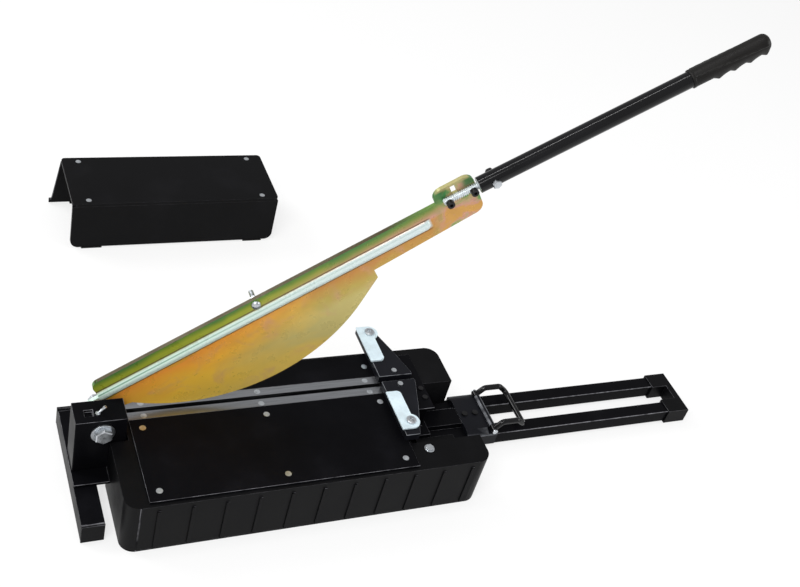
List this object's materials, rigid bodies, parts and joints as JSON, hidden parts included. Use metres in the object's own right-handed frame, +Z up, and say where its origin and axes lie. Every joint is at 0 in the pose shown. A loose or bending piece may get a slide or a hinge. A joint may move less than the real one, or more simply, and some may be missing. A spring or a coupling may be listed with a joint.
{
  "type": "laminate cutter",
  "caption": "Bench guillotine for laminate boards: a curved blade on a long lever drops through a slotted table, with a sliding fence, pull-out rails and a loose support stand.",
  "frame": {"origin": "centre of the base's underside, on the floor", "axes": "+X along the cut towards the handle, +Y to the rear, +Z up"},
  "size_m": [0.905, 0.6666, 0.6204],
  "materials": {
    "black_moulding": "satin black moulded plastic",
    "black_steel": "satin black paint on steel",
    "black_gloss_tube": "gloss black paint on steel tube",
    "zinc": "bright zinc plate",
    "tool_steel": "ground tool steel",
    "yellow_zinc": "iridescent yellow zinc on steel",
    "bronze": "plain bearing bronze",
    "black_oxide": "black oxide",
    "light_plate": "smooth light silver plate",
    "rubber": "black rubber"
  },
  "bodies": {
    "base": {"base_shell": "black_moulding", "base_bottom": "black_steel", "bottom_screws": "zinc", "bed_front": "black_steel", "bed_rear": "black_steel", "bed_screws": "zinc", "anvil_front": "tool_steel", "anvil_rear": "tool_steel", "anvil_screws": "zinc", "deck_screw": "zinc", "bridge_plate": "black_steel", "bridge_screws": "zinc", "skid_bar": "black_steel", "skid_plugs": "black_moulding", "pivot_post": "black_steel", "post_screws": "zinc", "pivot_bolt": "zinc", "front_washer": "zinc", "thrust_washer": "bronze", "rear_washer": "zinc", "pivot_nut": "zinc", "grease_nipple": "zinc", "rail_guide_front": "black_moulding", "rail_guide_rear": "black_moulding", "guide_screws": "zinc"},
    "lever": {"blade": "yellow_zinc", "pivot_bush": "bronze", "web_bolt": "zinc", "web_nut": "zinc", "handle_stud": "zinc", "stud_screws": "black_oxide", "stud_nuts": "black_oxide", "handle_tube": "black_gloss_tube", "handle_bolt": "zinc", "handle_nut": "black_oxide", "handle_grip": "rubber"},
    "fence": {"fence_bracket_front": "black_steel", "fence_bracket_rear": "black_steel", "fence_tie": "black_steel", "fence_riser": "black_steel", "fence_tongue": "black_steel", "fence_screws": "zinc", "hold_down_screws": "zinc", "cross_plate": "black_steel", "cross_screws": "black_oxide", "bail_pin": "zinc"},
    "hold_down_front_body": {"hold_down_front": "light_plate"},
    "hold_down_rear_body": {"hold_down_rear": "light_plate"},
    "bail_body": {"bail": "black_steel"},
    "stabilizer": {"rail_front": "black_steel", "rail_rear": "black_steel", "rail_tie": "black_steel", "rail_end_cap": "black_moulding", "rail_screws": "zinc"},
    "stand": {"stand_top": "black_moulding", "stand_front_leg": "black_moulding", "stand_rear_leg": "black_moulding", "stand_screws": "zinc", "stand_pads": "rubber"}
  },
  "joints": [
    {"name": "lever_pivot", "type": "hinge", "parent": "base", "child": "lever", "pos_m": [-0.242, 0.0415, 0.0956], "axis": [0, -1, 0], "range_deg": [-31.8, 45]},
    {"name": "fence_slide", "type": "slide", "parent": "base", "child": "fence", "axis": [1, 0, 0], "range_m": [0, 0.15]},
    {"name": "stabilizer_slide", "type": "slide", "parent": "base", "child": "stabilizer", "axis": [1, 0, 0], "range_m": [-0.09, 0]},
    {"name": "hold_down_front_turn", "type": "hinge", "parent": "fence", "child": "hold_down_front_body", "pos_m": [0.1385, -0.037, 0.0947], "axis": [0, 0, 1], "range_deg": [-90, 90]},
    {"name": "hold_down_rear_turn", "type": "hinge", "parent": "fence", "child": "hold_down_rear_body", "pos_m": [0.1385, 0.126, 0.0947], "axis": [0, 0, 1], "range_deg": [-90, 90]},
    {"name": "bail_swing", "type": "hinge", "parent": "fence", "child": "bail_body", "pos_m": [0.29, 0.0185, 0.03], "axis": [0, -1, 0], "range_deg": [0, 100]},
    {"name": "stand_slide", "type": "slide", "parent": "base", "child": "stand", "axis": [0, 1, 0], "range_m": [-0.2, 0.3]}
  ]
}
